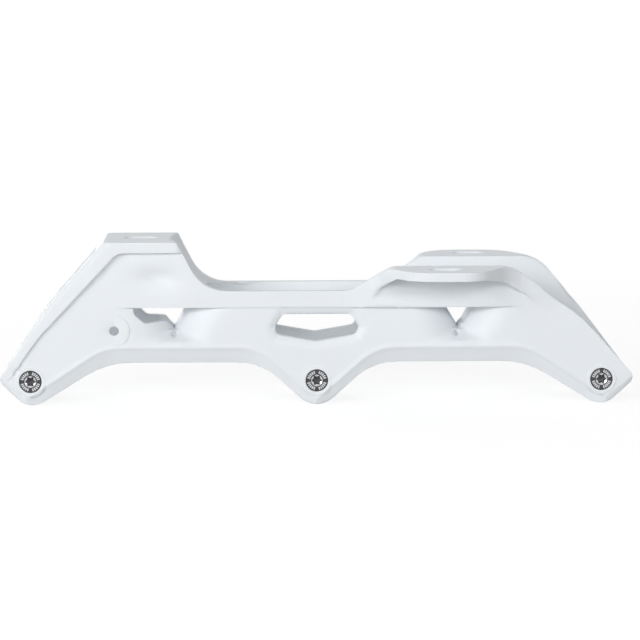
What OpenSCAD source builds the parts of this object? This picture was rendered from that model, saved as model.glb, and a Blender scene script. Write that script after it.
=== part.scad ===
// Inline skate frame for three large wheels, for a right boot.
// X points to the toe, Y to the inner side of the foot and Z up.
// The origin lies under the middle axle, level with the lowest points of the lobes.

/* [Wheels] */
// Diameter of the wheels
wheel_d = 125; // [116:0.5:130]
// Width of a tyre
wheel_w = 24; // [20:0.5:25]
// Gap between two neighbouring wheels
wheel_gap = 2.5; // [2:0.1:6]
// Room in a wheel bay over the tread
tread_room = 1.5; // [1:0.1:2.5]
// Room in a wheel bay beside the tyre
side_room = 2; // [1:0.1:3]

/* [Axles] */
// Diameter of an axle
axle_d = 8; // [6:0.1:8.4]
// Diameter of an axle head
head_d = 9.9; // [9.4:0.1:11]
// Thickness of an axle head
head_t = 2.4; // [1.8:0.1:3]
// Size of the driver socket over its lobes
socket_d = 4.6; // [3.6:0.1:5]
// Depth of the driver socket
socket_depth = 3.6; // [2.4:0.1:6]
// Clear width between the two bosses that hold a wheel hub
hub_gap = 24.4; // [22:0.1:26]
// Gap all round an axle in its bush and insert
axle_fit = 0.05; // [0.02:0.01:0.1]
// Wall of the bush under an axle head
bush_wall = 0.8; // [0.5:0.1:0.9]
// Wall of the threaded insert
insert_wall = 1.5; // [1:0.1:2]

/* [Side walls] */
// Height of the axles over the lowest points of the lobes
axle_drop = 11; // [9:0.1:13]
// Half of the width over the rails
rail_half = 19.5; // [18.8:0.1:21]
// Step from the rails in to the lower walls
wall_step = 0.8; // [0.4:0.1:1.6]
// Height of the rail tops over the axles
rail_rise = 40.3; // [38:0.1:43]
// Height of the rail undersides over the axles
rail_foot = 32.9; // [31:0.1:35]
// Height of the lower edge between two wheels over the axles
skirt_rise = 7.9; // [5:0.1:9]
// Width of the bevelled band along the lower edge
band_w = 6.8; // [4:0.1:8]
// How far the band leans in at the lower edge
band_lean = 2.6; // [0.5:0.1:3]
// Thickness of the arch between two wheels
arch_t = 3.5; // [3:0.1:5]
// Roundness of the arch shoulders
arch_round = 18; // [14:0.5:18]

/* [Rear deck] */
// Height of the deck over the axles
deck_rise = 62.4; // [60:0.1:66]
// Thickness of the deck
deck_t = 4.8; // [4:0.1:7]
// Width of the deck
deck_w = 43; // [41:0.5:48]
// Length of the deck
deck_l = 32.3; // [30:0.1:36]
// Thickness of the tower's front wall
tower_wall = 6.5; // [6:0.1:8]
// Width of the bevel along the rear rim
rim_bevel_w = 2.2; // [1:0.1:3]
// Length of the rear slot
rear_slot_l = 15.5; // [12:0.5:18]

/* [Front wings] */
// Height of the wings over the axles
wing_rise = 51.3; // [49:0.1:54]
// Thickness of a wing
wing_t = 4; // [3:0.1:6]
// Reach of a wing from the middle of the frame
wing_reach = 45.5; // [43:0.5:50]
// How far the inner wing lies ahead of the outer one
wing_stagger = 15.6; // [10:0.2:18]
// Distance between the two front slots, across the frame
slot_spread = 66; // [64:0.5:70]
// Length of a front slot
front_slot_l = 14.5; // [12:0.5:18]
// Width of all three slots
slot_w = 8.6; // [6.4:0.1:9]

/* [Brake hole] */
// Diameter of the brake bolt's hole
brake_d = 4.3; // [3.2:0.1:6]
// Diameter of the boss round the brake hole
brake_boss_d = 13.8; // [12:0.1:16]

/* [Hidden] */

$fn = 64;
white = "#e6eaed";
black = "#26272a";
steel = "#a9acb0";
brass = "#b59a5c";

outer = -1;
inner = 1;
sides = [outer, inner];
over = 1;
far = 300;
round_step = 9;

// Places along the frame
pitch = wheel_d + wheel_gap;
rear_axle = -pitch;
front_axle = pitch;
axles = [rear_axle, 0, front_axle];
rear_gap = -pitch / 2;
front_gap = pitch / 2;
deck_lag = 14.6;
deck_x = rear_gap - deck_lag;
deck_back = deck_x - deck_l / 2;
deck_front = deck_x + deck_l / 2;
deck_half = deck_w / 2;
function slot_x(side) = front_gap + side * wing_stagger / 2;

// Wheel bays and the arches over them
bay_r = wheel_d / 2 + tread_room;
bay_half = wheel_w / 2 + side_room;
bay_round = bay_half - 3;
wall_half = rail_half - wall_step;
arch_r = bay_r + arch_t;
arch_shoulder = min(arch_round, wall_half - 0.5);

// The slot between the rails starts round, ahead of the tower, and leans outwards to the wings
slot_start = deck_front + 36;
slot_foot_half = bay_half;
slot_top_half = slot_foot_half + 4.3;
tower_foot = deck_front + 4;
tower_run = 11.4;
tower_round = 18;
hollow_at = [deck_front + 30, deck_rise + 8.1];
hollow_r = 34;
hollow_half = 16.8;
hollow_depth = 3.1;
bridge_l = 36;
bridge_t = 5;

// Seats of the axles: the head side lies at -Y
ring_t = 0.5;
ring_r = 7.4;
ring_face = wall_half + ring_t;
boss_r = 8;
hub_half = hub_gap / 2;
head_seat = wall_half - 2.2;
head_face = head_seat + head_t;
head_room = 0.25;
axle_bore_r = axle_d / 2 + axle_fit;
bush_r = axle_bore_r + bush_wall;
insert_r = axle_bore_r + insert_wall;

// Brake hole behind the tower, in a boss that stands a little proud
brake_at = [rear_axle + 37.4, 22.6];
brake_face = wall_half + 0.3;

// Places on the side outline, from the axle line up
rear_reach = 14.6;
front_reach = 15.7;
tip_rise = 0.4;
tip_bevel_w = 2;
tip_lean = 0.6;
lobe_cut = 2.2;
lobe_shift = 0.5;
middle_cut = 3.8;
skirt_reach = 34;
skirt_round = 38;
lobe_half = 25;
lobe_round = 27;
lobe_drop = skirt_rise + axle_drop + lobe_cut;
rear_tip = [rear_axle - rear_reach, tip_rise];
front_tip = [front_axle + front_reach, tip_rise];
rear_foot = [rear_axle - lobe_shift, -axle_drop - lobe_cut];
front_foot = [front_axle + lobe_shift, -axle_drop - lobe_cut];
middle_foot = [0, -axle_drop - middle_cut];
knee_rear = [rear_axle + 6.3, deck_rise - 30.9];
function knee_front(side) = [front_axle - 7.5 + 0.8 * side, wing_rise - 22.9 + 1.2 * side];

// Places on the plan of a wing, from its slot: where the rail starts to flare, roots and straight edge
flare_back = 46;
flare_front = 52;
root_back = 28;
root_front = 29;
wing_edge = 15;
root_half = rail_half + 1.2;

// The crease between two arches is filled up to a ledge that slopes inwards
ledge_foot = skirt_rise + band_w + 2.6;
ledge_top = ledge_foot + 4.6;
ledge_half = wall_half - 8;
pit_r = 1.2;
pit_rise = ledge_top - 1.6;
pit_depth = 1.5;
pits = [rear_gap, front_gap - 1.2];

// One corner of an outline, as points on its fillet
function unit(v) = v / norm(v);
function at(c) = [c[0], c[1]];
function fillet(before, here, after) =
    let (
        a = unit(at(before) - at(here)),
        b = unit(at(after) - at(here)),
        half = acos(a * b) / 2,
        room = min(norm(at(before) - at(here)), norm(at(after) - at(here))) / 2,
        r = min(here[2], room * tan(half)),
        middle = at(here) + unit(a + b) * r / sin(half),
        start = at(here) + a * r / tan(half) - middle,
        turn = (180 - 2 * half) * sign(cross(b, a)),
        steps = max(2, ceil(abs(turn) / round_step))
    )
    r == 0 ? [at(here)] : [
        for (i = [0 : steps])
            let (t = turn * i / steps)
            middle + [start[0] * cos(t) - start[1] * sin(t), start[0] * sin(t) + start[1] * cos(t)]
    ];
function rounded(corners) =
    let (n = len(corners))
    [for (i = [0 : n - 1]) each fillet(corners[(i + n - 1) % n], corners[i], corners[(i + 1) % n])];

// Side outline of one wall, from the deck round the lobes and back over the wing
function wall_corners(side) = [
    [deck_front, deck_rise, 1.5],
    [deck_back, deck_rise, 2],
    [each knee_rear, 120],
    [each rear_tip, 4],
    [each rear_foot, 9.5],
    [rear_axle + skirt_reach, skirt_rise, skirt_round],
    [-lobe_half, skirt_rise, lobe_round],
    [each middle_foot, 11],
    [lobe_half, skirt_rise, lobe_round],
    [front_axle - skirt_reach, skirt_rise, skirt_round],
    [each front_foot, 9.5],
    [each front_tip, 4],
    [each knee_front(side), 80],
    [slot_x(side) + 30.8, wing_rise, 16],
    [slot_x(side) - 22.7, wing_rise, 6],
    [slot_x(side) - 41, rail_rise, 12],
    [deck_front + tower_run, rail_rise, tower_round]
];

// Plan outline of one side, with its half of the deck and its wing
function plan_corners(side) = [
    [rear_axle - far, 0, 0],
    [rear_axle - rear_reach, rail_half + 0.2, 0],
    [deck_back, deck_half, 20],
    [deck_front, deck_half, 2],
    [deck_front + 5, rail_half, 4],
    [slot_x(side) - flare_back, rail_half, 15],
    [slot_x(side) - root_back, root_half, 10],
    [slot_x(side) - wing_edge, wing_reach, 16],
    [slot_x(side) + wing_edge, wing_reach, 16],
    [slot_x(side) + root_front, root_half + 0.8, 17],
    [slot_x(side) + flare_front, wall_half, 15],
    [front_axle + front_reach + over, wall_half, 0],
    [front_axle + front_reach + over, 0, 0]
];

// Upper line of the band along the lower edge, from the middle lobe to an outer one
band_top = skirt_rise + band_w;
lobe_band = 4.4;
tip_band = 5;
crest_round = 26;
band_line = [
    [0, middle_foot[1] + lobe_band / cos(atan2(lobe_drop, lobe_half)), 0],
    [lobe_half + 1.5, band_top, crest_round],
    [front_axle - skirt_reach + 1, band_top, crest_round],
    [front_foot[0], front_foot[1] + tip_band / cos(atan2(lobe_drop, skirt_reach)), 0]
];
function band_crest(s) =
    let (
        line = band_line,
        crest = [
            at(line[0]),
            each fillet(line[0], line[1], line[2]),
            each fillet(line[1], line[2], line[3]),
            at(line[3])
        ]
    )
    s > 0 ? crest : [for (i = [len(crest) - 1 : -1 : 0]) [-crest[i][0], crest[i][1]]];

// Panel under the deck and the rear rim, which stand proud of it
panel_end = deck_front + 9;
rear_panel = [
    [rear_axle - 31.7, -30, 0],
    [rear_axle + 3.6, 19.6, 60],
    [deck_back + 6, deck_rise - deck_t, 8],
    [panel_end, deck_rise - deck_t, 0],
    [panel_end, -30, 0]
];

// Plan of the space beside that panel, which sinks to the lower wall behind the deck
panel_plan = [
    [panel_end, rail_half, 0], [deck_back, wall_half, 40], [rear_axle - far, wall_half, 0],
    [rear_axle - far, far, 0], [panel_end, far, 0]
];

// Space under one wing, out to its rim along the front arm
function wing_underside(side) = [
    for (c = [
        [-34, rail_foot - over, 0],
        [-28.6, wing_rise - wing_t - 6.8, 3],
        [-21.3, wing_rise - wing_t, 3],
        [17.7, wing_rise - wing_t, 10],
        [28.2, wing_rise - wing_t - 3.3, 8],
        [47.5, rail_foot - over, 0]
    ]) [slot_x(side) + c[0], c[1], c[2]]
];

// Plan of that space: it follows the rail and runs out on the arm
function underside_plan(side) = [
    [slot_x(side) - flare_back, root_half, 0], [slot_x(side) + wing_edge, root_half, 40],
    [slot_x(side) + root_front + 9, wall_half, 30], [slot_x(side) + flare_front, wall_half, 0],
    [slot_x(side) + flare_front, far, 0], [slot_x(side) - flare_back, far, 0]
];

// Plan of the pocket in the rail behind that space, which starts gently
function pocket_plan(side) = [
    [slot_x(side) - 36, rail_half + 0.3, 0], [slot_x(side) - 19, rail_half - 1.5, 8],
    [slot_x(side) + flare_front, rail_half - 1.5, 0],
    [slot_x(side) + flare_front, far, 0], [slot_x(side) - 36, far, 0]
];

// Windows through the lower walls, open up to the rails at the two gaps
middle_window = [
    [15.2, rail_foot - 3.2, 4], [-15.2, rail_foot - 3.2, 4], [-19, rail_foot - 9.3, 3],
    [-17.3, rail_foot - 12.5, 2.5], [0, rail_foot - 15.5, 5], [17.3, rail_foot - 12.5, 2.5],
    [19, rail_foot - 9.3, 3]
];
front_x = front_gap + 0.8;
notch_half = 7.4;
notch_depth = 11.6;
front_window = [
    [front_x + notch_half, rail_foot + over, 0], [front_x - notch_half, rail_foot + over, 0],
    [front_x, rail_foot - notch_depth, 2.6]
];
rear_window = [
    [rear_gap + 6.2, rail_foot + over, 0], [rear_gap - 18, rail_foot + over, 0],
    [rear_gap - 17.6, rail_foot - 3, 3], [rear_gap - 12.8, rail_foot - 7.3, 2.5],
    [rear_gap - 4.2, rail_foot - 6.8, 1.5], [rear_gap + 0.2, rail_foot - 11, 2.4]
];

// A side outline as a slab, from one Y to another
module slab(corners, y_from, y_to) {
    translate([0, y_to, 0])
        rotate([90, 0, 0])
            linear_extrude(y_to - y_from)
                polygon(rounded(corners));
}

// The same on one side of the frame, from the middle outwards
module side_slab(corners, side, from, to) {
    slab(corners, side > 0 ? from : -to, side > 0 ? to : -from);
}

// A body turned about an axle
module about_axle(x) {
    translate([x, 0, 0])
        rotate([90, 0, 0])
            rotate_extrude($fn = 128)
                children();
}

// Half section of a disc with round shoulders
module disc_section(r, half, shoulder) {
    translate([0, -half])
        square([r - shoulder, 2 * half]);
    translate([0, shoulder - half])
        square([r, 2 * (half - shoulder)]);
    for (s = sides)
        translate([r - shoulder, s * (half - shoulder)])
            circle(shoulder);
}

// Disc about an axle, for the arch over a wheel or for the bay under it
module wheel_disc(x, r, half, shoulder) {
    about_axle(x)
        difference() {
            disc_section(r, half, shoulder);
            translate([-far, -far])
                square([far, 2 * far]);
        }
}

// A plan outline of one side, from one height up
module side_plan(corners, side, from) {
    translate([0, 0, from])
        linear_extrude(2 * far)
            mirror([0, side > 0 ? 0 : 1])
                polygon(rounded(corners));
}

// The space under a straight line of the outline, leaning in from the wall's face
module lean_cut(from, to, face, lean) {
    along_line(from, to)
        for (s = sides)
            polygon([[s * face, 0], [s * (face - lean * far), -far], [s * far, -far], [s * far, 0]]);
}

// What that space leaves of the walls, over the line and under it
module lean_keep(from, to, face, lean) {
    apex = face / lean;
    along_line(from, to)
        polygon([[0, -apex], [face + lean * far, far], [-face - lean * far, far]]);
}

// A section across the frame, swept along a line of the outline
module along_line(from, to) {
    run = to - from;
    translate([from[0], 0, from[1]])
        rotate([0, -atan2(run[1], run[0]), 0])
            rotate([90, 0, 90])
                translate([0, 0, -far])
                    linear_extrude(2 * far)
                        children();
}

// Rails, tower and wings of one side, over the lower wall
module upper_wall(side) {
    difference() {
        intersection() {
            side_slab(wall_corners(side), side, 0, wing_reach + over);
            side_plan(plan_corners(side), side, rail_foot);
        }
        intersection() {
            side_slab(rear_panel, side, 0, wing_reach + over);
            side_plan(panel_plan, side, 0);
        }
        intersection() {
            side_slab(wing_underside(side), side, 0, wing_reach + 2 * over);
            side_plan(underside_plan(side), side, 0);
        }
        wing_pocket(side);
    }
}

// Pocket under a wing, over the rail's narrow ledge: it fades out towards both ends
module wing_pocket(side) {
    ledge = rail_foot + 3.5;
    top = wing_rise - wing_t;
    back_foot = rail_half - 0.7;
    back_lean = 3;
    fade = 2;
    intersection() {
        side_slab(wing_underside(side), side, 0, wing_reach + 2 * over);
        side_plan(pocket_plan(side), side, 0);
        translate([slot_x(side) - root_back, side * back_foot, 0])
            rotate([0, 0, side * fade])
                rotate([90, 0, 90])
                    translate([0, 0, -root_back])
                        linear_extrude(root_back + flare_front + root_front)
                            polygon([[0, ledge], [side * back_lean, top], [side * far, top], [side * far, ledge]]);
    }
}

// Lower wall of one side: the lobes, the arches and the band along the lower edge
module lower_wall(side) {
    difference() {
        intersection() {
            side_slab(wall_corners(side), side, 0, rail_half + over);
            translate([-far, -far, -far])
                cube([2 * far, 2 * far, far + rail_foot]);
            union() {
                for (x = axles)
                    wheel_disc(x, arch_r, wall_half, arch_shoulder);
                rotate([90, 0, 90])
                    translate([0, 0, -far])
                        linear_extrude(2 * far)
                            polygon([
                                [-wall_half, -far], [wall_half, -far], [wall_half, ledge_foot],
                                [ledge_half, ledge_top], [-ledge_half, ledge_top], [-wall_half, ledge_foot]
                            ]);
            }
        }
        for (w = [middle_window, front_window, rear_window])
            slab(w, -far, far);
    }
}

// Rim along the rear edge of one side, from the deck down to the lobe
module rear_rim(side) {
    difference() {
        intersection() {
            side_slab(wall_corners(side), side, wall_half - over, deck_half + over);
            side_plan(plan_corners(side), side, -far);
            translate([-far, -far, -far])
                cube([far + deck_front, 2 * far, 2 * far]);
        }
        side_slab(rear_panel, side, 0, wing_reach + over);
    }
}

// Open space between the two walls, under the deck and out to the wings
module middle_slot() {
    rotate([90, 0, 0])
        translate([0, 0, -slot_foot_half])
            linear_extrude(2 * slot_foot_half)
                intersection() {
                    translate([-tower_wall, 0])
                        polygon(rounded(wall_corners(outer)));
                    translate([-far, rail_foot])
                        square([far + tower_foot, deck_rise - deck_t - rail_foot]);
                }
    translate([slot_start, 0, rail_foot])
        cylinder(r1 = slot_foot_half, r2 = slot_top_half, h = wing_rise + over - rail_foot);
    translate([slot_start, 0, 0])
        rotate([90, 0, 90])
            linear_extrude(far)
                polygon([
                    [-slot_foot_half, rail_foot], [slot_foot_half, rail_foot],
                    [slot_top_half, wing_rise + over], [-slot_top_half, wing_rise + over]
                ]);
}

// Hollow down the front of the tower, which runs round its foot into the slot
// Its facets straddle the middle plane, so that no edge lies in it
module front_hollow() {
    steps = 5.5;
    section = [
        for (i = [-steps : steps])
            [hollow_r - hollow_depth * pow(i / steps, 2), hollow_half * i / steps]
    ];
    translate([hollow_at[0], 0, hollow_at[1]])
        rotate([90, 0, 0])
            rotate_extrude($fn = 128)
                polygon([[0, -hollow_half], each section, [0, hollow_half]]);
}

// Small pits in the crease between two arches, one from each side
module web_pits(x) {
    for (side = sides)
        one_side(side, x, pit_rise, pit_r, ledge_half - pit_depth, far);
}

// Plate that ties the rails together over the front window
module front_bridge() {
    half = slot_foot_half + 2;
    translate([front_gap - bridge_l / 2, -half, rail_foot])
        cube([bridge_l, 2 * half, bridge_t]);
}

// A slot for a mounting bolt, along X
module bolt_slot(x, y, length, top, depth) {
    reach = (length - slot_w) / 2;
    translate([x, y, top - depth - over]) {
        for (s = sides)
            translate([s * reach, 0, 0])
                cylinder(d = slot_w, h = depth + 2 * over);
        translate([-reach, -slot_w / 2, 0])
            cube([2 * reach, slot_w, depth + 2 * over]);
    }
}

// A round bar or bore along Y
module across(x, z, r, y_from, y_to) {
    translate([x, y_to, z])
        rotate([90, 0, 0])
            cylinder(r = r, h = y_to - y_from);
}

// The same on one side of the frame, from the middle outwards
module one_side(side, x, z, r, from, to) {
    across(x, z, r, side > 0 ? from : -to, side > 0 ? to : -from);
}

// Bevelled bands along the lower edge, between two lobes and down their sides
module lower_bands() {
    lean = band_lean / band_w;
    for (s = sides) {
        crest = band_crest(s);
        difference() {
            translate([s > 0 ? 0 : -far, -far, -far])
                cube([far, 2 * far, far + band_top]);
            for (i = [0 : len(crest) - 2])
                lean_keep(crest[i], crest[i + 1], wall_half, lean);
        }
    }
}

// Bevels along the outer edges: down the rear rim and round the tips
module edge_bevels() {
    for (line = [[[deck_back, deck_rise], knee_rear], [knee_rear, rear_tip]])
        edge_bevel(line[0], line[1], rim_bevel_w, deck_half, 1);
    edge_bevel(rear_tip, rear_foot, tip_bevel_w, wall_half, tip_lean);
    edge_bevel(front_foot, front_tip, tip_bevel_w, wall_half, tip_lean);
}

module edge_bevel(from, to, width, face, lean) {
    run = unit(to - from);
    inwards = width * [-run[1], run[0]];
    lean_cut(from + inwards, to + inwards, face, lean);
}

module frame_casting() {
    color(white)
    translate([0, 0, axle_drop])
    difference() {
        union() {
            difference() {
                union() {
                    difference() {
                        for (side = sides)
                            upper_wall(side);
                        middle_slot();
                    }
                    for (side = sides) {
                        lower_wall(side);
                        rear_rim(side);
                    }
                    front_bridge();
                }
                for (x = axles)
                    wheel_disc(x, bay_r, bay_half, bay_round);
                lower_bands();
                edge_bevels();
                front_hollow();
                for (x = pits)
                    web_pits(x);
            }
            for (side = sides) {
                for (x = axles) {
                    one_side(side, x, 0, boss_r, hub_half, wall_half);
                    one_side(side, x, 0, ring_r, wall_half - over, ring_face);
                }
                one_side(side, brake_at[0], brake_at[1], brake_boss_d / 2, bay_half, brake_face);
            }
        }
        for (x = axles) {
            across(x, 0, bush_r, -head_seat - over, 0);
            across(x, 0, head_d / 2 + head_room, -far, -head_seat);
            across(x, 0, insert_r, 0, far);
        }
        across(brake_at[0], brake_at[1], brake_d / 2, -far, far);
        bolt_slot(deck_x, 0, rear_slot_l, deck_rise, deck_t);
        for (side = sides)
            bolt_slot(slot_x(side), side * slot_spread / 2, front_slot_l, wing_rise, wing_t);
    }
}

// One-piece axle with its head at -Y
module axle(x) {
    tip_bevel = 0.8;
    rim_bevel = 0.4;
    cone_r = socket_d / 2 + 0.4;
    cone_depth = 0.7;
    core_r = 0.39 * socket_d;
    lobe_at = 0.36 * socket_d;
    lobe_r = 0.14 * socket_d;
    tip = wall_half;
    color(black)
    translate([x, -head_face, axle_drop])
    rotate([-90, 0, 0])
    difference() {
        rotate_extrude()
            polygon([
                [0, 0], [head_d / 2 - rim_bevel, 0], [head_d / 2, rim_bevel], [head_d / 2, head_t],
                [axle_d / 2, head_t], [axle_d / 2, head_face + tip - tip_bevel],
                [axle_d / 2 - tip_bevel, head_face + tip], [0, head_face + tip]
            ]);
        translate([0, 0, -over])
            cylinder(r1 = cone_r + over, r2 = cone_r - cone_depth, h = over + cone_depth);
        translate([0, 0, -over])
            cylinder(r = core_r, h = over + socket_depth);
        for (turn = [0 : 60 : 300])
            rotate(turn)
                translate([lobe_at, 0, -over])
                    cylinder(r = lobe_r, h = over + socket_depth, $fn = 24);
    }
}

// Steel bush pressed in under an axle head
module axle_bush(x) {
    color(steel)
    translate([0, 0, axle_drop])
    difference() {
        across(x, 0, bush_r, -head_seat, -hub_half);
        across(x, 0, axle_bore_r, -head_seat - over, -hub_half + over);
    }
}

// Threaded steel insert pressed into the inner wall
module thread_insert(x) {
    color(brass)
    translate([0, 0, axle_drop])
    difference() {
        across(x, 0, insert_r, hub_half, ring_face);
        across(x, 0, axle_bore_r, hub_half - over, ring_face + over);
    }
}

frame_casting();
axle(rear_axle);  // axle_rear
axle(0);  // axle_middle
axle(front_axle);  // axle_front
axle_bush(rear_axle);  // axle_bush_rear
axle_bush(0);  // axle_bush_middle
axle_bush(front_axle);  // axle_bush_front
thread_insert(rear_axle);  // thread_insert_rear
thread_insert(0);  // thread_insert_middle
thread_insert(front_axle);  // thread_insert_front
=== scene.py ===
# Inline skate frame: one white casting, three black axles and the steel parts that hold them
import math

import bmesh
import bpy
from mathutils import Matrix, Vector


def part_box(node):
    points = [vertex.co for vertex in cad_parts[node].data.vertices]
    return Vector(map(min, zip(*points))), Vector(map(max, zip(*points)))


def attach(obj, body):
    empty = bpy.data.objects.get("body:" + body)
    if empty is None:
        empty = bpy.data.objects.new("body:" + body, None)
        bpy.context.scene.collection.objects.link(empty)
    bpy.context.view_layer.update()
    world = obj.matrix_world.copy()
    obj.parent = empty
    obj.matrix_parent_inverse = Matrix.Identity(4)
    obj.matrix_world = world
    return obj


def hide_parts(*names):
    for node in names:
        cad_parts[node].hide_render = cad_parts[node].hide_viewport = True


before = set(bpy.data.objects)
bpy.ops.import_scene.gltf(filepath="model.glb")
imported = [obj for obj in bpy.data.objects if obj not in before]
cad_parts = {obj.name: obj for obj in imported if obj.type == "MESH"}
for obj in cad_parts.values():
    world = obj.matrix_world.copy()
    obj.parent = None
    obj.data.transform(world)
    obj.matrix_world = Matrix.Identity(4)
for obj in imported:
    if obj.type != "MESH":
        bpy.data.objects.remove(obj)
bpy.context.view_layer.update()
scene = bpy.context.scene
mm = 0.001
weldDistance = 0.001 * mm
spots = ["rear", "middle", "front"]
print("frame loaded,", len(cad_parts), "nodes")

cameraSet = {
    "place": (-0.03558, -1.17013, 0.20012),
    "pitch": 82.0,           # degrees from straight down
    "turn": -1.84,
    "focalPixels": 2615,     # focal length in pixels of the picture
    "imagePixels": 640,
    "sensor": 36.0,
    "clip": (0.01, 60),      # nearest and farthest that is seen, in metres
}


def makeCamera():
    data = bpy.data.cameras.new("studioCamera")
    data.sensor_width = cameraSet["sensor"]
    data.lens = cameraSet["focalPixels"] / cameraSet["imagePixels"] * cameraSet["sensor"]
    data.clip_start, data.clip_end = cameraSet["clip"]
    camera = bpy.data.objects.new("studioCamera", data)
    scene.collection.objects.link(camera)
    camera.location = cameraSet["place"]
    camera.rotation_euler = (math.radians(cameraSet["pitch"]), 0, math.radians(cameraSet["turn"]))
    scene.camera = camera


makeCamera()
print("camera set")


# A socket that takes part in sums; other nodes come from its node method
class Wire:
    def __init__(self, tree, socket=None):
        self.tree = tree
        self.socket = socket

    def feed(self, made, sockets):
        for name, value in sockets.items():
            if isinstance(value, Wire):
                self.tree.links.new(value.socket, made.inputs[name])
            else:
                made.inputs[name].default_value = value

    def node(self, kind, settings, sockets, output=0):
        made = self.tree.nodes.new("ShaderNode" + kind)
        for name, value in settings.items():
            setattr(made, name, value)
        self.feed(made, sockets)
        return Wire(self.tree, made.outputs[output])

    def combine(self, operation, first, second):
        return self.node("Math", {"operation": operation}, {0: first, 1: second})

    def __add__(self, other):
        return self.combine("ADD", self, other)

    def __radd__(self, other):
        return self.combine("ADD", other, self)

    def __sub__(self, other):
        return self.combine("SUBTRACT", self, other)

    def __rsub__(self, other):
        return self.combine("SUBTRACT", other, self)

    def __mul__(self, other):
        return self.combine("MULTIPLY", self, other)

    def __rmul__(self, other):
        return self.combine("MULTIPLY", other, self)

    # Colour between two colours: sockets 6 and 7, and output 2, are the ones for colours
    def mix(self, first, second):
        return self.node("Mix", {"data_type": "RGBA"}, {0: self, 6: first, 7: second}, 2)


def newMaterial(name):
    material = bpy.data.materials.new(name)
    material.use_nodes = True
    tree = material.node_tree
    return material, Wire(tree), tree.nodes["Principled BSDF"]


def noise(wire, coords, scale, detail=2.0, rough=0.5):
    sockets = {"Vector": coords, "Scale": scale, "Detail": detail, "Roughness": rough}
    return wire.node("TexNoise", {}, sockets)


paintSet = {
    "light": (0.815, 0.845, 0.872, 1),
    "shade": (0.785, 0.818, 0.848, 1),
    "cloudScale": 22,        # slow changes of tone, per metre
    "peelScale": 800,        # orange peel of the sprayed paint
    "grainScale": 4200,      # grain of the casting under it
    "cloudPart": 0.8,        # of the tone, the rest is grain
    "peelPart": 0.75,        # of the relief, the rest is grain
    "peelHeight": 0.06 * mm,
    "peelStrength": 0.5,
    "rough": 0.46,
    "cloudRough": 0.1,
    "grainRough": 0.08,
    "gloss": 0.28,
}


def makePaint():
    material, wire, shader = newMaterial("whitePaint")
    coords = wire.node("TexCoord", {}, {}, "Object")
    cloud = noise(wire, coords, paintSet["cloudScale"], 3)
    peel = noise(wire, coords, paintSet["peelScale"], 1)
    grain = noise(wire, coords, paintSet["grainScale"], 2, 0.6)
    tone = cloud * paintSet["cloudPart"] + grain * (1 - paintSet["cloudPart"])
    height = peel * paintSet["peelPart"] + grain * (1 - paintSet["peelPart"])
    uneven = (cloud - 0.5) * paintSet["cloudRough"] + (grain - 0.5) * paintSet["grainRough"]
    bump = wire.node("Bump", {}, {
        "Height": height,
        "Strength": paintSet["peelStrength"],
        "Distance": paintSet["peelHeight"],
    })
    wire.feed(shader, {
        "Base Color": tone.mix(paintSet["shade"], paintSet["light"]),
        "Roughness": paintSet["rough"] + uneven,
        "Normal": bump,
        "Specular IOR Level": paintSet["gloss"],
    })
    return material


blackSet = {
    "dark": (0.028, 0.029, 0.031, 1),
    "worn": (0.075, 0.076, 0.08, 1),
    "blotchScale": 420,
    "grainScale": 5200,
    "blotchPart": 0.7,       # of the tone, the rest is grain
    "grainHeight": 0.02 * mm,
    "grainStrength": 0.4,
    "rough": 0.45,
    "grainRough": 0.2,
    "metal": 0.35,
}


# Black oxide of the axle heads, also used as painted shade at the bottom of each driver socket
def makeBlack():
    material, wire, shader = newMaterial("blackOxideAndSocketShade")
    coords = wire.node("TexCoord", {}, {}, "Object")
    blotch = noise(wire, coords, blackSet["blotchScale"], 3)
    grain = noise(wire, coords, blackSet["grainScale"], 2, 0.6)
    tone = blotch * blackSet["blotchPart"] + grain * (1 - blackSet["blotchPart"])
    bump = wire.node("Bump", {}, {
        "Height": grain,
        "Strength": blackSet["grainStrength"],
        "Distance": blackSet["grainHeight"],
    })
    wire.feed(shader, {
        "Base Color": tone.mix(blackSet["dark"], blackSet["worn"]),
        "Roughness": blackSet["rough"] + (grain - 0.5) * blackSet["grainRough"],
        "Normal": bump,
        "Metallic": blackSet["metal"],
    })
    return material


steelSet = {
    # the two ends of the tone, roughness, and tool marks per metre along the piece
    "shankSteel": ((0.42, 0.43, 0.45, 1), (0.72, 0.73, 0.75, 1), 0.26, 9000),
    "bushSteel": ((0.40, 0.41, 0.42, 1), (0.66, 0.67, 0.69, 1), 0.32, 6000),
    "insertSteel": ((0.46, 0.43, 0.36, 1), (0.74, 0.70, 0.60, 1), 0.30, 6000),
    "across": 18,            # change of the marks the other two ways, per metre
    "stainScale": 260,
    "markPart": 0.6,         # of the tone, the rest is stain
    "markHeight": 0.02 * mm,
    "markStrength": 0.5,
    "markRough": 0.22,
}


# Turned metal: the tool marks run round the Y axis, so they change along Y
def makeTurned(name):
    dark, light, rough, marks = steelSet[name]
    across = steelSet["across"]
    material, wire, shader = newMaterial(name)
    coords = wire.node("TexCoord", {}, {}, "Object")
    along = wire.node("VectorMath", {"operation": "MULTIPLY"}, {0: coords, 1: (across, marks, across)})
    mark = noise(wire, along, 1, 3, 0.6)
    stain = noise(wire, coords, steelSet["stainScale"])
    tone = mark * steelSet["markPart"] + stain * (1 - steelSet["markPart"])
    bump = wire.node("Bump", {}, {
        "Height": mark,
        "Strength": steelSet["markStrength"],
        "Distance": steelSet["markHeight"],
    })
    wire.feed(shader, {
        "Base Color": tone.mix(dark, light),
        "Roughness": rough + (mark - 0.5) * steelSet["markRough"],
        "Normal": bump,
        "Metallic": 1.0,
    })
    return material


tickSet = {
    "dull": (0.48, 0.49, 0.51, 1),
    "bright": (0.76, 0.77, 0.79, 1),
    "wearScale": 1800,
    "rough": 0.4,
    "wearRough": 0.15,
}


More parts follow.
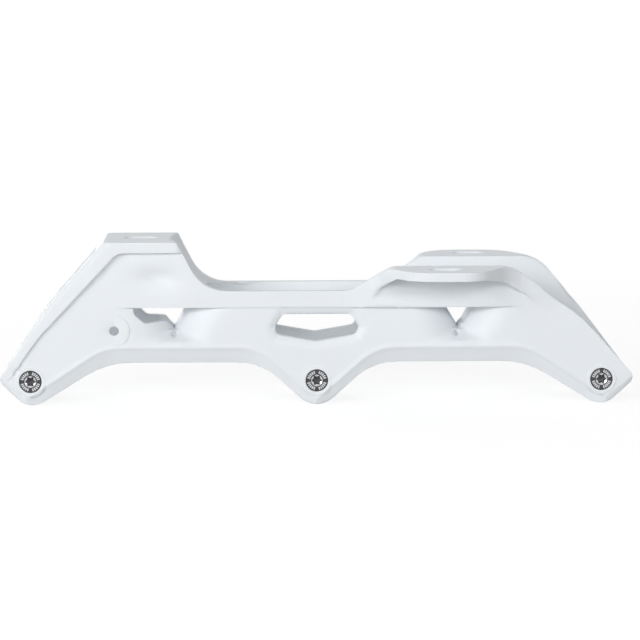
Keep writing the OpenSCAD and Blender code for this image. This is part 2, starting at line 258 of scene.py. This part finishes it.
def makeTick():
    material, wire, shader = newMaterial("tickPaint")
    coords = wire.node("TexCoord", {}, {}, "Object")
    wear = noise(wire, coords, tickSet["wearScale"])
    wire.feed(shader, {
        "Base Color": wear.mix(tickSet["dull"], tickSet["bright"]),
        "Roughness": tickSet["rough"] + wear * tickSet["wearRough"],
    })
    return material


whitePaint = makePaint()
blackOxideAndSocketShade = makeBlack()
shankSteel = makeTurned("shankSteel")
bushSteel = makeTurned("bushSteel")
insertSteel = makeTurned("insertSteel")
tickPaint = makeTick()
print("materials made")


castingSet = {
    "halvings": 9,           # fineness of the remeshed skin
    "fill": 0.99,            # share of the mesher's room that the casting takes
    "triangles": 190000,
    "splitAngle": 50,        # degrees
    "pull": 0.5,             # strength of each smoothing pass
    "wall": 18.7 * mm,       # outer face of the lower walls, from the middle
    "stagger": 15.6 * mm,    # how far the far wing stands ahead of the near one
    "softFrom": 8 * mm,      # nothing closer to the middle is softened
    "softEnd": 3,            # where the fall of a soft place is cut off
    "round": {
        # edges are rounded all over but at the slots: their middles and half the room round them, in mm
        "slots": [(-78.35, 0, 73.4), (55.95, -33, 62.3), (71.55, 33, 62.3)],
        "room": (9.5, 6, 6.5),
        "passes": 2,
    },
    "soft": {
        # places where one face runs smoothly into the next: X, Z and half sizes in mm,
        # and 1 where the stagger of the wings moves it
        "places": [
            (-72, 29.6, 6, 3, 0),
            (-55.5, 29.6, 6, 3, 0),
            (55.5, 29.6, 6, 3, 0),
            (72, 29.6, 6, 3, 0),
            (28.5, 49.5, 6, 4.5, 1),
            (100, 44.5, 8, 4.5, 1),
        ],
        "passes": 110,
    },
    "flat": {
        # the same, where only the steps across the wall are softened and the outline stays
        "places": [
            (0, 2.5, 6, 4, 0),
            (58, 47.4, 26, 2.6, 1),
            (83, 58, 7, 4.5, 1),
        ],
        "passes": 120,
    },
    "seat": {
        "deep": 3 * mm,          # reshaped down to here behind the wall's face
        "reach": 8.6 * mm,
        "keep": 0.36,            # share of the ring's height that is left
        "boreFrom": 4.9 * mm,
        "boreTo": 6.2 * mm,
        "boreDrawn": 0.17 * mm,  # how far the bore is drawn in
        "ring": 7.4 * mm,        # edge of the ring as cast
        "ringTo": 10 * mm,
        "ringDrawn": 0.95 * mm,  # how far that edge is drawn in
    },
    "lip": {
        # outline of the middle window in X and Z, in mm
        "corners": [
            (15.2, 40.7), (-15.2, 40.7), (-19, 34.6), (-17.3, 31.4),
            (0, 28.4), (17.3, 31.4), (19, 34.6),
        ],
        "width": 4.4 * mm,
        "depth": 1.5 * mm,
        "root": 4 * mm,
    },
    "rearBoss": {
        "x": -90.1 * mm,
        "z": 33.6 * mm,
        "reach": 7.6 * mm,
        "fade": 5.0 * mm,
        "proud": 1.6,
    },
    "rimEnd": {
        "x": -141 * mm,
        "z": 9.5 * mm,
        "reach": 11.5 * mm,
        "gone": 3.0 * mm,
    },
    "dent": {
        "x": -70.5 * mm,
        "z": 56.8 * mm,
        "alongX": 8.5 * mm,
        "alongZ": 4.6 * mm,
        "depth": 2.2 * mm,
        "from": 16 * mm,
    },
    "crest": {
        # line over the bevelled band, ahead of the middle axle: X, Z and how far each bend reaches, in mm
        "corners": [(0, 1.96, 0), (26.5, 25.7, 9.5), (94.5, 25.7, 7.4), (128, 3.68, 0)],
        "bendSteps": 7,
        "height": 0.34 * mm,
        "width": 1.0 * mm,
        "reach": 4.0 * mm,
        "above": 0.5 * mm,
        "inside": 17.5 * mm,
        "outside": 19.05 * mm,
    },
}


def axleCentre(spot):
    low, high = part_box("axle_" + spot)
    return (low.x + high.x) / 2, (low.z + high.z) / 2


# Turns what the modifiers show into the piece's own mesh
def finishMesh(piece):
    ready = bpy.context.evaluated_depsgraph_get()
    mesh = bpy.data.meshes.new_from_object(piece.evaluated_get(ready))
    piece.modifiers.clear()
    piece.data = mesh


# Hard corners stay hard: edges steeper than this angle split the shading
def sharpen(piece, degrees=32):
    piece.data.set_sharp_from_angle(angle=math.radians(degrees))


# Group of points whose edges are rounded: all but those at the slots
def markRound(piece):
    room = [half * mm for half in castingSet["round"]["room"]]
    slots = [[middle * mm for middle in slot] for slot in castingSet["round"]["slots"]]
    low = min(slot[2] for slot in slots) - room[2]
    rounded = []
    for vertex in piece.data.vertices:
        near = False
        if vertex.co.z > low:
            near = any(all(abs(vertex.co[i] - slot[i]) < room[i] for i in range(3)) for slot in slots)
        if not near:
            rounded.append(vertex.index)
    piece.vertex_groups.new(name="round").add(rounded, 1, "REPLACE")


# Group of points where faces run into each other without an edge, and how soft each is
def markSoft(piece, kind):
    group = piece.vertex_groups.new(name=kind)
    for vertex in piece.data.vertices:
        if abs(vertex.co.y) > castingSet["softFrom"]:
            ahead = castingSet["stagger"] if vertex.co.y > 0 else 0
            most = 0
            for x, z, halfX, halfZ, staggered in castingSet[kind]["places"]:
                acrossX = (vertex.co.x - ahead * staggered - x * mm) / (halfX * mm)
                acrossZ = (vertex.co.z - z * mm) / (halfZ * mm)
                away = acrossX * acrossX + acrossZ * acrossZ
                if away < castingSet["softEnd"]:
                    most = max(most, math.exp(-away))
            if most > 0:
                group.add([vertex.index], most, "REPLACE")


# The ring round each axle head is low and narrow, and its bore fits close to the head
def fitSeats(mesh):
    seat = castingSet["seat"]
    wall = castingSet["wall"]
    centres = [axleCentre(spot) for spot in spots]
    for vertex in mesh.vertices:
        if vertex.co.y < -wall + seat["deep"]:
            for x, z in centres:
                outwards = Vector((vertex.co.x - x, 0, vertex.co.z - z))
                radius = outwards.length
                if radius < seat["reach"] and vertex.co.y < -wall:
                    vertex.co.y = -wall + (vertex.co.y + wall) * seat["keep"]
                if seat["boreFrom"] < radius < seat["boreTo"]:
                    share = min(1, 2 * (seat["boreTo"] - radius) / (seat["boreTo"] - seat["boreFrom"]))
                    vertex.co -= outwards * (seat["boreDrawn"] * share / radius)
                elif seat["boreTo"] < radius < seat["ringTo"]:
                    end = seat["boreTo"] if radius < seat["ring"] else seat["ringTo"]
                    share = (radius - end) / (seat["ring"] - end)
                    vertex.co -= outwards * (seat["ringDrawn"] * share / radius)


# From the nearest point on a line between two points to a place
def wayFrom(place, start, end):
    run = end - start
    share = min(1, max(0, (place - start).dot(run) / run.length_squared))
    return place - start - run * share


# The wall falls softly to the edge of the middle window, on both sides
def sinkLip(mesh):
    lip = castingSet["lip"]
    wall = castingSet["wall"]
    corners = [Vector((x, z)) * mm for x, z in lip["corners"]]
    sides = list(zip(corners, corners[1:] + corners[:1]))
    reach = lip["width"] + max(corner.x for corner in corners)
    top = lip["width"] + max(corner.y for corner in corners)
    for vertex in mesh.vertices:
        depth = abs(vertex.co.y) - wall + lip["root"]
        if depth > 0 and abs(vertex.co.x) < reach and vertex.co.z < top:
            place = Vector((vertex.co.x, vertex.co.z))
            away = min(wayFrom(place, start, end).length for start, end in sides)
            if away < lip["width"]:
                fade = (1 - away / lip["width"]) ** 2
                vertex.co.y -= math.copysign(depth * fade * lip["depth"] / lip["root"], vertex.co.y)


# The boss round the small hole behind the rear pit shows only on its front side
def sinkBoss(mesh):
    boss = castingSet["rearBoss"]
    wall = castingSet["wall"]
    for vertex in mesh.vertices:
        ahead = vertex.co.x - boss["x"]
        if abs(vertex.co.y) > wall and math.hypot(ahead, vertex.co.z - boss["z"]) < boss["reach"]:
            share = min(1, max(0, ahead / boss["fade"]))
            rise = (abs(vertex.co.y) - wall) * share * boss["proud"]
            vertex.co.y = math.copysign(wall + rise, vertex.co.y)


# The rear rim runs out softly at the tip of the rear lobe
def fadeRim(mesh):
    rim = castingSet["rimEnd"]
    wall = castingSet["wall"]
    for vertex in mesh.vertices:
        away = math.hypot(vertex.co.x - rim["x"], vertex.co.z - rim["z"])
        if abs(vertex.co.y) > wall and away < rim["reach"]:
            share = max(0, (away - rim["gone"]) / (rim["reach"] - rim["gone"]))
            rise = (abs(vertex.co.y) - wall) * share * share * (3 - 2 * share)
            vertex.co.y = math.copysign(wall + rise, vertex.co.y)


# Shallow hollow in the tower's panel, on both sides
def pressDent(mesh):
    dent = castingSet["dent"]
    for vertex in mesh.vertices:
        if abs(vertex.co.y) > dent["from"]:
            acrossX = (vertex.co.x - dent["x"]) / dent["alongX"]
            acrossZ = (vertex.co.z - dent["z"]) / dent["alongZ"]
            fade = math.exp(-(acrossX * acrossX + acrossZ * acrossZ))
            vertex.co.y -= math.copysign(dent["depth"] * fade, vertex.co.y)


# Points along the crest line, with its corners bent round
def crestPoints():
    crest = castingSet["crest"]
    corners = [Vector((x, z)) * mm for x, z, reach in crest["corners"]]
    reaches = [reach * mm for x, z, reach in crest["corners"]]
    points = [corners[0]]
    for i in range(1, len(corners) - 1):
        start = corners[i] + (corners[i - 1] - corners[i]).normalized() * reaches[i]
        end = corners[i] + (corners[i + 1] - corners[i]).normalized() * reaches[i]
        for step in range(crest["bendSteps"]):
            share = step / (crest["bendSteps"] - 1)
            points.append(start.lerp(corners[i], share).lerp(corners[i].lerp(end, share), share))
    points.append(corners[-1])
    return points


# Soft lip along the upper edge of the bevelled band, on both sides and both ways from the middle
def raiseCrest(mesh):
    crest = castingSet["crest"]
    points = crestPoints()
    runs = list(zip(points, points[1:]))
    top = max(point.y for point in points) + crest["reach"]
    for vertex in mesh.vertices:
        if vertex.co.z < top and crest["inside"] < abs(vertex.co.y) < crest["outside"]:
            place = Vector((abs(vertex.co.x), vertex.co.z))
            nearest = None
            for start, end in runs:
                run = end - start
                away = wayFrom(place, start, end)
                if nearest is None or away.length < abs(nearest):
                    nearest = math.copysign(away.length, run.x * away.y - run.y * away.x)
            fade = (nearest - crest["above"]) / crest["width"]
            vertex.co.y += math.copysign(crest["height"] * math.exp(-fade * fade), vertex.co.y)


def makeCasting():
    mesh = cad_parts["frame_casting"].data.copy()
    shape = bmesh.new()
    shape.from_mesh(mesh)
    bmesh.ops.remove_doubles(shape, verts=shape.verts, dist=weldDistance)
    shape.to_mesh(mesh)
    shape.free()
    mesh.materials.clear()
    piece = bpy.data.objects.new("castingShell", mesh)
    scene.collection.objects.link(piece)
    skin = piece.modifiers.new("skin", "REMESH")
    skin.mode = "SHARP"
    skin.octree_depth = castingSet["halvings"]
    skin.scale = castingSet["fill"]
    skin.sharpness = 1.0
    skin.use_remove_disconnected = False
    finishMesh(piece)
    markRound(piece)
    markSoft(piece, "soft")
    markSoft(piece, "flat")
    for group in ("round", "soft", "flat"):
        soften = piece.modifiers.new("soften", "SMOOTH")
        soften.factor = castingSet["pull"]
        soften.iterations = castingSet[group]["passes"]
        soften.vertex_group = group
        soften.use_x = group != "flat"
        soften.use_z = group != "flat"
    finishMesh(piece)
    piece.vertex_groups.clear()
    for reshape in (fitSeats, sinkLip, sinkBoss, fadeRim, pressDent, raiseCrest):
        reshape(piece.data)
    count = sum(len(face.vertices) - 2 for face in piece.data.polygons)
    thin = piece.modifiers.new("thin", "DECIMATE")
    thin.ratio = min(1, castingSet["triangles"] / count)
    finishMesh(piece)
    piece.data.materials.append(whitePaint)
    piece.data.shade_smooth()
    sharpen(piece, castingSet["splitAngle"])
    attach(piece, "frame")
    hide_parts("frame_casting")
    print("casting:", count, "triangles thinned to", len(piece.data.polygons), "faces")


makeCasting()


# A turned shape about an axle: its profile is radius and place along Y, spun once round
def turn(shape, x, z, profile, steps):
    points = [shape.verts.new((x + radius, y, z)) for radius, y in profile]
    edges = [shape.edges.new(pair) for pair in zip(points, points[1:])]
    bmesh.ops.spin(shape, geom=points + edges, cent=(x, 0, z), axis=(0, 1, 0),
                   angle=2 * math.pi, steps=steps, use_merge=True)
    bmesh.ops.remove_doubles(shape, verts=shape.verts, dist=weldDistance)
    bmesh.ops.recalc_face_normals(shape, faces=shape.faces)


def addPiece(name, shape, materials, body, node):
    mesh = bpy.data.meshes.new(name)
    shape.to_mesh(mesh)
    shape.free()
    for material in materials:
        mesh.materials.append(material)
    piece = bpy.data.objects.new(name, mesh)
    scene.collection.objects.link(piece)
    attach(piece, body)
    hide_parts(node)
    sharpen(piece)


axleSet = {
    "steps": 96,
    "headR": 4.95 * mm,
    "headT": 2.4 * mm,
    "headBevel": 0.35 * mm,
    "bevelBulge": (0.1 * mm, 0.45),         # how far in, and at what share of the bevel, it bends
    "headBreak": 0.15 * mm,                 # broken edge at the back of the head
    "ringSunk": 0.1 * mm,                   # sunk ring that holds the ticks
    "ringLip": 0.16 * mm,                   # lips on either side of it
    "coneR": 2.64 * mm,
    "coneDepth": 0.4 * mm,
    "coneBreak": (0.05 * mm, 0.06 * mm),    # across and along
    "socketR": 1.98 * mm,
    "socketDepth": 2.6 * mm,
    "drillDepth": 1.1 * mm,
    "lobes": 6,
    "lobeDepth": 0.27 * mm,
    "shankR": 4.0 * mm,
    "neck": 0.45 * mm,
    "endChamfer": (0.7 * mm, 0.8 * mm),     # across and along
    "threadL": 9.5 * mm,
    "threadCore": 3.5 * mm,
    "threadEnds": (0.2 * mm, 0.9 * mm),     # starts before its core, stops before the axle's end
    "threadSteps": 32,                      # in one turn
    "pitch": 1.25 * mm,
    "rootLet": 0.05 * mm,                   # how far the thread is let into its core
    "crestClear": 0.02 * mm,                # how far its crest stays under the shank's surface
    "crestPart": 0.06,                      # half the crest's flat, as a share of the pitch
    "gapPart": 0.01,                        # bare share of the pitch at either side of the thread
    "tickGroups": 4,
    "ticksPerGroup": 5,
    "tickStep": 13.6,                       # degrees
    "tickSize": (0.62 * mm, 1.35 * mm, 0.12 * mm),
    "tickBevel": 0.04 * mm,
    "tickR": 3.78 * mm,
    "close": 0.01 * mm,                     # closer than this counts as the same place
}


# From the bottom of the driver socket over the head and along the shank to the threaded end
def axleProfile(front, end):
    axle = axleSet
    coneIn, coneDown = axle["coneBreak"]
    bulgeIn, bulgeShare = axle["bevelBulge"]
    chamferIn, chamferAlong = axle["endChamfer"]
    ringInner = axle["coneR"] + axle["ringLip"]
    rimR = axle["headR"] - axle["headBevel"]
    ringOuter = rimR - axle["ringLip"]
    headBack = front + axle["headT"]
    threadStart = end - axle["threadL"]
    return [
        (0, front + axle["socketDepth"] + axle["drillDepth"]),
        (axle["socketR"], front + axle["socketDepth"]),
        (axle["socketR"], front + axle["coneDepth"]),
        (axle["coneR"] - coneIn, front + coneDown),
        (axle["coneR"], front),
        (ringInner, front),
        (ringInner, front + axle["ringSunk"]),
        (ringOuter, front + axle["ringSunk"]),
        (ringOuter, front),
        (rimR, front),
        (axle["headR"] - bulgeIn, front + axle["headBevel"] * bulgeShare),
        (axle["headR"], front + axle["headBevel"]),
        (axle["headR"], headBack - axle["headBreak"]),
        (axle["headR"] - axle["headBreak"], headBack),
        (axle["shankR"], headBack),
        (axle["shankR"], threadStart - axle["neck"]),
        (axle["threadCore"], threadStart),
        (axle["threadCore"], end - chamferAlong),
        (axle["threadCore"] - chamferIn, end),
        (0, end),
    ]


# Presses the round lobes of the driver socket into its wall
def shapeSocket(shape, x, z, front):
    axle = axleSet
    bottom = front + axle["socketDepth"] + axle["close"]
    for vertex in shape.verts:
        radius = math.hypot(vertex.co.x - x, vertex.co.z - z)
        if vertex.co.y < bottom and abs(radius - axle["socketR"]) < axle["close"]:
            angle = math.atan2(vertex.co.z - z, vertex.co.x - x)
            grow = 1 + axle["lobeDepth"] / axle["socketR"] * math.cos(axle["lobes"] * angle)
            vertex.co.x = x + (vertex.co.x - x) * grow
            vertex.co.z = z + (vertex.co.z - z) * grow


# The head is black; the bottom of its socket gets the same black as painted shade in the deep socket; the
# rest is bare steel
def colourAxle(shape, x, z, front):
    axle = axleSet
    headBack = front + axle["headT"] + axle["close"]
    bottom = front + axle["socketDepth"] - axle["close"]
    drillEnd = front + axle["socketDepth"] + axle["drillDepth"]
    for face in shape.faces:
        middle = face.calc_center_median()
        radius = math.hypot(middle.x - x, middle.z - z)
        onHead = middle.y < headBack and radius > axle["coneR"] + axle["close"]
        # the socket's bottom is painted black as painted shade, not a black finish
        atBottom = bottom < middle.y < drillEnd and radius < axle["socketR"]
        face.material_index = 0 if onHead or atBottom else 1
        face.smooth = True


# Raised helix of the thread, from one place along Y to another
def addThread(shape, x, z, start, end):
    axle = axleSet
    pitch = axle["pitch"]
    perTurn = axle["threadSteps"]
    base = axle["threadCore"] - axle["rootLet"]
    crest = axle["shankR"] - axle["crestClear"]
    flat = pitch * axle["crestPart"]
    gap = pitch * axle["gapPart"]
    places = [(base, gap), (crest, pitch / 2 - flat), (crest, pitch / 2 + flat), (base, pitch - gap)]
    points = [shape.verts.new((x + radius, start + along, z)) for radius, along in places]
    edges = [shape.edges.new(pair) for pair in zip(points, points[1:] + points[:1])]
    steps = int((end - start) / pitch * perTurn) - perTurn
    made = bmesh.ops.spin(shape, geom=points + edges, cent=(x, 0, z), axis=(0, 1, 0),
                          angle=-steps / perTurn * 2 * math.pi, steps=steps,
                          dvec=(0, pitch / perTurn, 0), use_duplicate=False)
    last = [vertex for vertex in made["geom_last"] if isinstance(vertex, bmesh.types.BMVert)]
    shape.faces.new(points)
    shape.faces.new(sorted(last, key=lambda vertex: vertex.co.y))


# Groups of plain ticks in the sunk ring of the head
def addTicks(shape, x, z, face):
    axle = axleSet
    width, length, thick = axle["tickSize"]
    size = Matrix.Diagonal((width, thick, length, 1))
    middle = (axle["ticksPerGroup"] - 1) / 2
    for group in range(axle["tickGroups"]):
        for tick in range(axle["ticksPerGroup"]):
            angle = 360 / axle["tickGroups"] * (group + 0.5) + axle["tickStep"] * (tick - middle)
            place = Matrix.Translation((x, face, z)) @ Matrix.Rotation(math.radians(angle), 4, "Y")
            place = place @ Matrix.Translation((0, 0, axle["tickR"]))
            made = bmesh.ops.create_cube(shape, size=1, matrix=place @ size)
            edges = list({edge for vertex in made["verts"] for edge in vertex.link_edges})
            bmesh.ops.bevel(shape, geom=edges, offset=axle["tickBevel"], affect="EDGES", segments=1,
                            profile=0.5, material=-1)


def makeAxle(spot):
    node = "axle_" + spot
    low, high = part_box(node)
    x, z = axleCentre(spot)
    front, end = low.y, high.y
    shape = bmesh.new()
    turn(shape, x, z, axleProfile(front, end), axleSet["steps"])
    shapeSocket(shape, x, z, front)
    colourAxle(shape, x, z, front)
    before = set(shape.faces)
    early, short = axleSet["threadEnds"]
    addThread(shape, x, z, end - axleSet["threadL"] - early, end - short)
    for face in set(shape.faces) - before:
        face.material_index = 1
        face.smooth = True
    before = set(shape.faces)
    addTicks(shape, x, z, front + axleSet["ringSunk"])
    for face in set(shape.faces) - before:
        face.material_index = 2
    addPiece("axle" + spot.capitalize(), shape, [blackOxideAndSocketShade, shankSteel, tickPaint],
             spot + "_axle", node)


for spot in spots:
    makeAxle(spot)
print("axles made")


ringSet = {
    "bush": (4.05 * mm, 4.85 * mm),         # inner and outer radius
    "insert": (4.05 * mm, 5.55 * mm),
    "chamfer": 0.3 * mm,
    "steps": 72,
}


def ringProfile(inner, outer, start, end):
    chamfer = ringSet["chamfer"]
    return [
        (inner, start + chamfer),
        (inner + chamfer, start),
        (outer - chamfer, start),
        (outer, start + chamfer),
        (outer, end - chamfer),
        (outer - chamfer, end),
        (inner + chamfer, end),
        (inner, end - chamfer),
        (inner, start + chamfer),
    ]


def makeRing(name, node, spot, radii, material):
    low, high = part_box(node)
    x, z = axleCentre(spot)
    inner, outer = radii
    shape = bmesh.new()
    turn(shape, x, z, ringProfile(inner, outer, low.y, high.y), ringSet["steps"])
    for face in shape.faces:
        face.smooth = True
    addPiece(name, shape, [material], "frame", node)


for spot in spots:
    makeRing("axleBush" + spot.capitalize(), "axle_bush_" + spot, spot,
             ringSet["bush"], bushSteel)
    makeRing("threadInsert" + spot.capitalize(), "thread_insert_" + spot, spot,
             ringSet["insert"], insertSteel)
print("bushes and inserts made")


stageSet = {
    "floorHalf": 14.0,
    "floorSeen": (0.36, 0.36, 0.36, 1),
    "floorBounce": (0.65, 0.65, 0.65, 1),
    "floorGlow": (0.76, 0.93),      # near the object, where its shadow falls, and far away
    "glowReach": (0.35, 1.5),       # metres from the middle between those two
    "worldLevel": 0.22,
    "worldLeft": 0.26,              # pale wall on the left, added to that level
    "worldBack": 0.60,              # pale wall behind the object
    "lampAim": (0, 0, 0.035),
    "lampSize": (1.4, 0.7),
    "lamps": {
        # place and watts
        "leftLamp": ((-1.32, -1.72, 0.42), 14.2),
        "highLamp": ((-1.24, -1.62, 0.86), 10.8),
        "rightLamp": ((0.72, -1.92, 0.80), 14.0),
        "backLamp": ((-1.34, 1.72, 0.34), 16.5),
    },
}


# Rays that see the stage itself: from the camera, or by way of metal and glass
def seenDirectly(wire):
    rays = ("Is Camera Ray", "Is Glossy Ray", "Is Transmission Ray")
    camera, glossy, through = [wire.node("LightPath", {}, {}, ray) for ray in rays]
    return wire.combine("MAXIMUM", wire.combine("MAXIMUM", camera, glossy), through)


# White to those rays, with the object's shadow on it, and clear from below
def makeFloor():
    shape = bmesh.new()
    bmesh.ops.create_grid(shape, x_segments=1, y_segments=1, size=stageSet["floorHalf"])
    mesh = bpy.data.meshes.new("floor")
    shape.to_mesh(mesh)
    shape.free()
    material, wire, shader = newMaterial("paleFloor")
    wire.tree.nodes.remove(shader)
    seen = seenDirectly(wire)
    coords = wire.node("TexCoord", {}, {}, "Object")
    away = wire.node("VectorMath", {"operation": "LENGTH"}, {0: coords}, "Value")
    near, far = stageSet["glowReach"]
    atNear, atFar = stageSet["floorGlow"]
    level = wire.node("MapRange", {}, {"Value": away, 1: near, 2: far, 3: atNear, 4: atFar})
    glow = wire.node("Emission", {}, {"Color": level, "Strength": 1})
    shaded = wire.node("BsdfDiffuse", {}, {"Color": stageSet["floorSeen"]})
    bounce = wire.node("BsdfDiffuse", {}, {"Color": stageSet["floorBounce"]})
    white = wire.node("AddShader", {}, {0: glow, 1: shaded})
    top = wire.node("MixShader", {}, {0: seen, 1: bounce, 2: white})
    under = wire.node("NewGeometry", {}, {}, "Backfacing")
    clear = wire.node("BsdfTransparent", {}, {})
    both = wire.node("MixShader", {}, {0: under, 1: top, 2: clear})
    wire.feed(wire.tree.nodes["Material Output"], {"Surface": both})
    mesh.materials.append(material)
    floor = bpy.data.objects.new("floor", mesh)
    scene.collection.objects.link(floor)


def makeWorld():
    world = bpy.data.worlds.new("studio")
    scene.world = world
    world.use_nodes = True
    wire = Wire(world.node_tree)
    seen = seenDirectly(wire)
    coords = wire.node("TexCoord", {}, {}, "Generated")
    toRight = wire.node("SeparateXYZ", {}, {0: coords}, "X")
    toBack = wire.node("SeparateXYZ", {}, {0: coords}, "Y")
    left = wire.combine("MAXIMUM", toRight * -stageSet["worldLeft"], 0)
    back = wire.combine("MAXIMUM", toBack * stageSet["worldBack"], 0)
    level = seen + (1 - seen) * (left + back + stageSet["worldLevel"])
    wire.feed(world.node_tree.nodes["Background"], {"Color": level, "Strength": 1})


def makeLamps():
    aim = Vector(stageSet["lampAim"])
    for name, (place, watts) in stageSet["lamps"].items():
        data = bpy.data.lights.new(name, "AREA")
        data.shape = "RECTANGLE"
        data.size, data.size_y = stageSet["lampSize"]
        data.energy = watts
        lamp = bpy.data.objects.new(name, data)
        scene.collection.objects.link(lamp)
        lamp.location = place
        lamp.rotation_euler = (aim - Vector(place)).to_track_quat("-Z", "Y").to_euler()


makeFloor()
makeWorld()
makeLamps()
scene.view_settings.view_transform = "Standard"
print("stage and lamps set")
